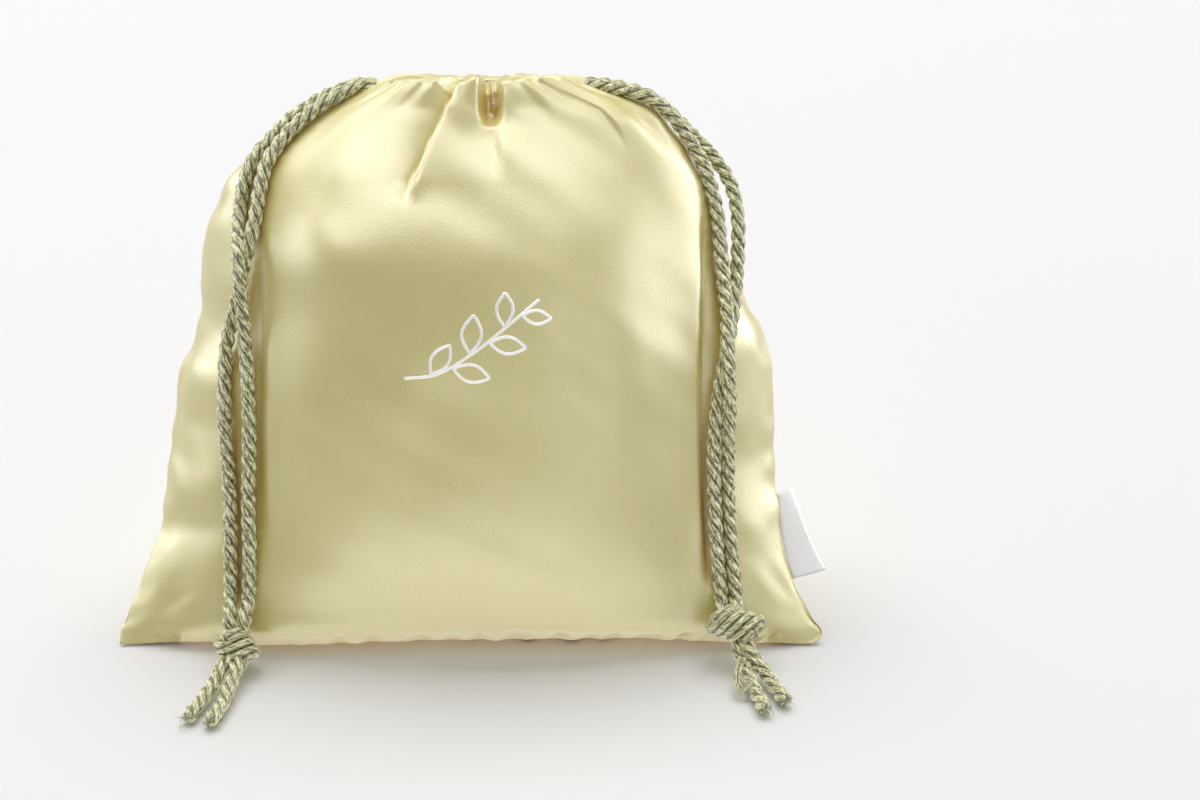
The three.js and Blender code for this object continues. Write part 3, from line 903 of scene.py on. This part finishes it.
# Slack: height, then the slant, counts and seed of its waves round the pouch and of those up it
SLACK = [
    (0.40, (0.35, (3, 5, 8), 11), (0.2, (1.5, 2.6), 13)),
    (0.16, (0.20, (13, 17, 23), 19), (-0.3, (4, 6.5), 23)),
]
# The mouth's pleats: height, counts a turn and seed
MOUTH_PLEATS = [(0.7, *RIM_PUCKERS[1:]), (0.5, (11, 23), 17)]
MOUTH_DRAWN_IN = 0.5
RIM_UNEVEN = 0.3


def waves(at, counts, seed):
    """Uneven ripples along a line, from about -1 to 1: sines of several counts a turn, with seeded phases."""
    phases = np.random.default_rng(seed).uniform(0, FULL_TURN, len(counts))
    total = sum(np.sin(FULL_TURN * count * at + phase) for count, phase in zip(counts, phases))
    return total / np.sqrt(len(counts))


def ripples(at, height, counts, seed):
    """Uneven waves of a height in millimetres."""
    return height * waves(at, counts, seed)


def crease(x, level, fold):
    """A fold's height: a valley on one side of its line and a ridge on the other, with a step between them.

    Valley and ridge die away sideways as rounded exponentials. They narrow downwards, and the whole fold dies
    towards its ends.
    """
    levels = np.array(fold["level"][::-1])
    off = (x - np.interp(level, levels, fold["x"][::-1])) * fold["side"]
    (depth, valley_width), (rise, ridge_width) = fold["valley"], fold["ridge"]
    broad = FOLD_NARROWEST + (1 - FOLD_NARROWEST) * ease(levels[0], levels[-1], level)
    valley_off = np.hypot(off / (valley_width * broad), FOLD_ROUNDING)
    ridge_off = np.hypot((off - fold["step"]) / (ridge_width * broad), FOLD_ROUNDING)
    valley = -depth * np.exp(FOLD_ROUNDING - valley_off)
    ridge = rise * np.exp(FOLD_ROUNDING - ridge_off)
    share = ease(-FOLD_STEP_BACK * fold["step"], fold["step"], off)
    height = valley * (1 - share) + ridge * share
    if levels[-1] < 1:
        height = height * (1 - ease(levels[-1] - fold["fade"], levels[-1], level))
    return height * ease(levels[0], levels[0] + fold["fade"], level)


def pocket(x, level):
    """A steep-walled slot down from the rim with a round bottom, and the flap of cloth that stands in it."""
    off = x - POCKET_X
    narrow = np.sqrt(ease(POCKET_LEVEL, POCKET_LEVEL + POCKET_FOOT, level))
    inside = 1 - ease(POCKET_HALF * narrow, POCKET_HALF * narrow + POCKET_WALL, np.abs(off))
    flap = FLAP_HEIGHT * bell(off - FLAP_OFF, FLAP_HALF) * ease(FLAP_LEVEL, FLAP_LEVEL + FLAP_FOOT, level)
    funnel = FUNNEL_DEPTH * bell(off, FUNNEL_HALF) * bell(level - POCKET_LEVEL, FUNNEL_HIGH)
    return inside * (flap - POCKET_DEPTH * narrow) - funnel


def relief(turn, level):
    """How far the dressed cloth stands out of the plain one: folds, puckers, a roll and slack, added up."""
    across, facing, _, half_width = section(turn, level)
    x = across * half_width
    aside = np.abs(across)
    is_front = facing == FRONT
    height = np.zeros(np.shape(x))
    for row in FOLDS:
        height += np.where(is_front, crease(x, level, dict(zip(FOLD_COLUMNS, row))), 0)
    # The panels meet at the side seams, so nothing sinks there
    height *= 1 - ease(*FOLDS_DIE, aside)
    height += np.where(is_front, pocket(x, level), 0)
    beside = ease(*SIDE_WAVES_RISE, aside) * (1 - SIDE_WAVES_LOST * ease(*SIDE_WAVES_FALL, aside))
    for side, middle, high, out in zip(*SIDE_WAVES.values()):
        height += np.where(np.sign(across) == side, out * bell(level - middle, high) * beside, 0)
    # Puckers: short ripples that die away from the bottom seam, the side seams and the rim
    up = level * CLOTH_UP
    below = (1 - level) * CLOTH_UP
    by_bottom = bell(up - BOTTOM_PUCKER_REACH, BOTTOM_PUCKER_REACH)
    height += ripples(turn, *BOTTOM_PUCKERS) * by_bottom * (1 - ease(*CORNERS, aside))
    height += ripples(level, *SIDE_PUCKERS) * ease(*SIDE_SEAMS, aside) * ease(*SIDE_SEAMS_START, level)
    height += ripples(turn, *RIM_PUCKERS) * bell(below, RIM_PUCKER_REACH)
    # The front panel's lower edge rolls under
    height += np.where(is_front, ROLL_HEIGHT * bell(up - ROLL_UP, ROLL_HALF) * (1 - across**4), 0)
    for tall, (round_slant, round_counts, round_seed), (up_slant, up_counts, up_seed) in SLACK:
        round_ripples = ripples(turn + round_slant * level, tall, round_counts, round_seed)
        height += round_ripples * waves(level + up_slant * turn, up_counts, up_seed)
    return height


def rim_rise(x, y, level):
    """How far the rim stands up along the front, fading below it and towards the back."""
    before = 1 - ease(0, RIM_CREST_BACK, y - PROFILE["front_y"][-1])
    inside = np.clip(x, RIM_CREST["x"][0], RIM_CREST["x"][-1])
    return cubic(RIM_CREST["x"], RIM_CREST["rise"], inside) * before * ease(RIM_CREST_LEVEL, 1.0, level)


def dressed(turn, level):
    """Points of the finished outer cloth: the plain one moved out by its relief, and up at the rim."""
    points = cloth(turn, level)
    points = points + cloth_normal(turn, level, FINE_NORMAL_STEP) * relief(turn, level)[..., None]
    points[..., 2] += rim_rise(points[..., 0], points[..., 1], level)
    points[..., 2] = np.maximum(points[..., 2], 0)
    return points


def mouth_point(turn, below):
    """Points of the mouth's hole: an oval drawn into pleats, at a depth below the rim's plane."""
    angle = FULL_TURN * turn
    pleat = sum(ripples(turn, *row) for row in MOUTH_PLEATS)
    y = along(PROFILE, "seam_y", 1.0) - (MOUTH_HALF_DEPTH - MOUTH_DRAWN_IN + pleat) * np.sin(angle)
    x = MOUTH_MIDDLE - (MOUTH_HALF_WIDTH + pleat) * np.cos(angle)
    return np.stack([x, y, rim_height(y) - below], -1)


def crowded(low, high, count, even=0.45):
    """Levels that crowd towards both ends of a range: part even, part an S-shaped cubic."""
    u = np.linspace(0, 1, count)
    return low + (high - low) * (even * u + (1 - even) * (3 * u**2 - 2 * u**3))


def pouch_rings():
    """The pouch as rings: up the outside, over the rim, down through the hem and the inside to a crease."""
    turn = np.arange(AROUND) / AROUND
    folded = np.minimum(turn, 1 - turn)
    outer_turn, outer_level = np.meshgrid(turn, crowded(0, 1, OUTER_RINGS)[1:])
    seam = dressed(folded, np.zeros(AROUND))
    outer = dressed(outer_turn, outer_level)
    top, hole = outer[-1], mouth_point(turn, 0.0)
    bend = np.linspace(0, np.pi, RIM_RINGS + 2)[1:-1, None, None]
    crest = RIM_RISE * (1 + RIM_UNEVEN * waves(turn, *RIM_PUCKERS[1:]))
    rim = top + (hole - top) * (1 - np.cos(bend)) / 2
    rim[..., 2] += np.sin(bend[..., 0]) * crest
    hem = np.stack([mouth_point(turn, below) for below in np.linspace(0, HEM_DEPTH, HEM_RINGS)])
    inner_turn, inner_level = np.meshgrid(turn, crowded(*INNER_LEVELS, INNER_RINGS)[::-1])
    inner = cloth(inner_turn, inner_level, INNER_INSET)
    sunk = np.minimum(relief(inner_turn, inner_level), 0)
    inner += cloth_normal(inner_turn, inner_level) * sunk[..., None]
    inner_seam = cloth(folded, np.zeros(AROUND))
    inner_seam[:, 0] *= 1 - 2 * SEAM_INSET / OUTLINE["left"][0]
    inner_seam[:, 1] += CREASE_BEHIND_SEAM
    inner_seam[:, 2] = WALL
    return np.concatenate([seam[None], outer, rim, hem, inner, inner_seam[None]])


def make_pouch():
    """The pouch as one closed mesh of its rings, with its grain laid on as seen from outside."""
    rings = pouch_rings()
    rows = len(rings)
    quads, row, column = grid_faces(rows, AROUND)
    # The first and last rings are folded flat, so the back half uses the front half's points
    fold = np.minimum(np.arange(AROUND), AROUND - np.arange(AROUND)) % AROUND
    number = np.arange(rows * AROUND).reshape(rows, AROUND)
    number[0] = number[0][fold]
    number[-1] = number[-1][fold]
    quads = number.ravel()[quads]
    used, quads = np.unique(quads, return_inverse=True)
    level = np.concatenate([crowded(0, 1, OUTER_RINGS), np.linspace(1, INSIDE_LEVEL, rows - OUTER_RINGS)])
    uv = np.stack([column / AROUND * CLOTH_ROUND, level[row] * CLOTH_UP], -1).reshape(-1, 2)
    points = rings.reshape(-1, 3)[used]
    pouch = make_piece("pouch_satin", points, quads.reshape(-1, 4).tolist(), uv, satin)
    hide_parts("pouch_body")
    return pouch


pouch = make_pouch()


# The tab in the right side seam, a folded ribbon left bare

LABEL_LEVELS = (0.155, 0.29)
LABEL_OUT = ((8.4, 3.4, 0.6), (3.4, 3.0, 1.0))
LABEL_GAP = 0.4
LABEL_HALF = 0.55
LABEL_ROWS = 40
LABEL_COLUMNS = 48
LABEL_CLOTH = 0.25
LABEL_SQUARE = 0.6  # the power of the loop's sine: the smaller, the flatter its sides
LABEL_BOW = 0.5
LABEL_GRAIN = (0.35, 0.5)  # mm for each column and row


def make_label():
    """A ribbon folded at its outer edge: a flattened loop carried up the seam between its two ends."""
    v = np.linspace(0, 1, LABEL_ROWS)[:, None]
    level = LABEL_LEVELS[0] + (LABEL_LEVELS[1] - LABEL_LEVELS[0]) * v[:, 0]
    root = cloth(np.full(LABEL_ROWS, 0.5), level)
    out = np.array(LABEL_OUT[0]) + (np.array(LABEL_OUT[1]) - LABEL_OUT[0]) * v
    root = root + unit(out) * LABEL_GAP
    normal = unit(np.cross(np.gradient(root, axis=0), out))
    angle = np.linspace(0, FULL_TURN, LABEL_COLUMNS, endpoint=False)
    reach = (1 - np.cos(angle)) / 2
    thick = LABEL_HALF * np.sign(np.sin(angle)) * np.abs(np.sin(angle)) ** LABEL_SQUARE
    bow = LABEL_BOW * np.sin(np.pi * v) * reach**2
    points = root[:, None] + reach[None, :, None] * out[:, None]
    points = points + (thick[None] - bow)[..., None] * normal[:, None]
    quads, row, column = grid_faces(LABEL_ROWS, LABEL_COLUMNS)
    uv = np.stack([column * LABEL_GRAIN[0], row * LABEL_GRAIN[1]], -1).reshape(-1, 2)
    label = make_piece("label_ribbon", points.reshape(-1, 3), quads.tolist(), uv, ribbon)
    solid = label.modifiers.new("cloth", "SOLIDIFY")
    solid.thickness = LABEL_CLOTH * MM
    solid.offset = 0
    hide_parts("side_label")
    return label


label = make_label()


# The print: a leafy sprig in thin cream lines

PRINT_LEVEL = 0.563
PRINT_X = 0.9
PRINT_UP = 159.0  # mm up the front for each whole level
INK_WIDTH = 0.8
INK_PROUD = 0.09
INK_SUNK = 0.25
INK_STEP = 0.5
STEM = [(-17, -8, 0), (-9, -7, 0), (0, -1.5, 0), (9, 6, 0), (16, 12, 0)]
# Leaves: share along the stem, side of it, length and half width
LEAVES = table(
    ("at", "side", "long", "wide"),
    [
        (0.16, 1, 9.5, 2.2),
        (0.30, -1, 10.0, 2.3),
        (0.44, 1, 10.5, 2.4),
        (0.58, -1, 9.5, 2.2),
        (0.72, 1, 9.0, 2.0),
        (0.85, -1, 7.5, 1.7),
    ],
)
LEAF_ANGLE = 48.0  # degrees between a leaf and the stem
LEAF_STATIONS = 26
LEAF_STALK = 0.06  # the share of a leaf's length before its arcs start


def sprig_lines():
    """The sprig's lines on a flat sheet: a curved stem, and leaves of two arcs that bow by half a sine."""
    stem = smooth_path(STEM, INK_STEP)
    lines = [stem]
    reach = run_length(stem)
    tangent = unit(np.gradient(stem, axis=0))
    for at, side, long, wide in zip(*LEAVES.values()):
        root = np.array([np.interp(at * reach[-1], reach, stem[:, k]) for k in range(3)])
        along_stem = unit(np.array([np.interp(at * reach[-1], reach, tangent[:, k]) for k in range(3)]))
        turn = np.radians(LEAF_ANGLE) * side
        ahead = np.array([
            along_stem[0] * np.cos(turn) - along_stem[1] * np.sin(turn),
            along_stem[0] * np.sin(turn) + along_stem[1] * np.cos(turn),
            0,
        ])
        beside = np.array([-ahead[1], ahead[0], 0])
        u = np.linspace(0, 1, LEAF_STATIONS)[:, None]
        midrib = root + ahead * long * (LEAF_STALK + (1 - LEAF_STALK) * u)
        for bow in (-1, 1):
            lines.append(midrib + beside * bow * wide * np.sin(np.pi * u))
    return lines


def on_front(flat):
    """Flat points laid on the front panel: x sideways and y up from the print's middle, z outwards."""
    level = PRINT_LEVEL + flat[..., 1] / PRINT_UP
    x = PRINT_X + flat[..., 0]
    half_width = np.where(x < 0, along(OUTLINE, "left", level), along(OUTLINE, "right", level))
    turn = np.arccos(np.clip(-x / half_width, -1, 1)) / FULL_TURN
    points = dressed(turn, level)
    return points + cloth_normal(turn, level) * flat[..., 2, None]


def make_print():
    """Each line is a flat bar: a four-cornered section carried along it, a little proud of the cloth."""
    points, faces, uv, start = [], [], [], 0
    for line in sprig_lines():
        tangent = unit(np.gradient(line, axis=0))
        beside = np.stack([-tangent[:, 1], tangent[:, 0], np.zeros(len(line))], -1) * INK_WIDTH / 2
        lift = np.array([0, 0, 1.0])
        corners = [beside - INK_SUNK * lift, beside + INK_PROUD * lift,
                   -beside + INK_PROUD * lift, -beside - INK_SUNK * lift]
        grid = np.stack([line + corner for corner in corners], 1)
        rows = len(line)
        quads, row, column = grid_faces(rows, 4)
        faces += (quads + start).tolist()
        first = np.arange(4) + start
        faces += [first[::-1].tolist(), (first + (rows - 1) * 4).tolist()]
        flat = grid.reshape(-1, 3)
        uv += [flat[quads.ravel(), :2], flat[[3, 2, 1, 0], :2], flat[-4:, :2]]
        points.append(on_front(grid).reshape(-1, 3))
        start += rows * 4
    return make_piece("sprig_print", np.concatenate(points), faces, np.concatenate(uv), ink)


sprig = make_print()


# Floor and light

FLOOR_SIZE = 8.0
FLOOR_COLOUR = (0.80, 0.80, 0.815)
WORLD_COLOUR = (1.0, 0.99, 0.98)
WORLD_STRENGTH = 0.5
SUBJECT = (0, 0, 0.08)
WARM = (1.0, 0.995, 0.985)
PLAIN = (1.0, 1.0, 1.0)
# Lights: name, place and aim in metres, width and height, watts, colour, and whether only gloss shows them
LIGHTS = [
    ("overhead", (-0.17, 0.97, 2.24), (-0.05, 0.0, 0), (2.72, 1.36), 49.0, WARM, False),
    ("front_high", (-0.10, -0.35, 1.60), SUBJECT, (1.2, 0.5), 8.4, PLAIN, True),
    ("left_high", (-0.75, -0.35, 1.45), SUBJECT, (0.7, 0.6), 4.6, PLAIN, True),
    ("right_high", (0.75, -0.35, 1.45), SUBJECT, (0.7, 0.6), 5.6, PLAIN, True),
    ("right_front", (0.75, -1.50, 0.45), SUBJECT, (0.45, 0.7), 2.6, PLAIN, True),
    ("left_card", (-1.35, -0.15, 0.45), SUBJECT, (0.7, 0.5), 3.2, PLAIN, True),
    ("right_card", (1.30, -0.20, 0.45), SUBJECT, (0.8, 0.5), 5.4, PLAIN, True),
    ("left_back", (-1.10, 0.55, 0.55), SUBJECT, (0.7, 0.5), 9.8, PLAIN, True),
    ("left_back_high", (-0.80, 0.45, 1.20), SUBJECT, (0.7, 0.5), 2.6, PLAIN, True),
    ("right_back", (1.10, 0.55, 0.55), SUBJECT, (0.7, 0.5), 9.0, PLAIN, True),
    ("near_card", (0.0, -0.13, 0.001), (0, -0.13, 1), (1.0, 0.15), 0.60, PLAIN, True),
    ("right_low", (1.10, 0.42, 0.14), SUBJECT, (0.5, 0.24), 3.0, PLAIN, True),
]


def make_floor():
    """A plain pale sheet on which the pouch stands."""
    half = FLOOR_SIZE / 2
    corners = [(-half, -half, 0), (half, -half, 0), (half, half, 0), (-half, half, 0)]
    mesh = bpy.data.meshes.new("floor")
    mesh.from_pydata(corners, [], [(0, 1, 2, 3)])
    material, _, _ = new_material("pale_floor", FLOOR_COLOUR, 0.6, Specular_IOR_Level=0.3)
    mesh.materials.append(material)
    floor = bpy.data.objects.new("floor", mesh)
    bpy.context.scene.collection.objects.link(floor)


def add_light(name, place, aim, size, watts, colour, gloss_only):
    """A soft rectangular light turned to face a point, or only its mirror image on gloss."""
    data = bpy.data.lights.new(name, "AREA")
    data.shape = "RECTANGLE"
    data.size, data.size_y = size
    data.energy = watts
    data.color = colour
    light = bpy.data.objects.new(name, data)
    light.location = place
    away = unit(np.array(place) - np.array(aim))
    tilt = np.arccos(away[2])
    swing = np.arctan2(away[1], away[0]) + np.pi / 2
    light.rotation_euler = (tilt, 0, swing)
    light.visible_diffuse = not gloss_only
    light.visible_camera = False
    bpy.context.scene.collection.objects.link(light)


def make_light():
    """The studio: a pale sky all round and the soft lights."""
    world = bpy.data.worlds.new("studio")
    world.use_nodes = True
    background = world.node_tree.nodes["Background"]
    background.inputs["Color"].default_value = (*WORLD_COLOUR, 1)
    background.inputs["Strength"].default_value = WORLD_STRENGTH
    bpy.context.scene.world = world
    bpy.context.scene.view_settings.view_transform = "Standard"
    for row in LIGHTS:
        add_light(*row)


make_floor()
make_light()
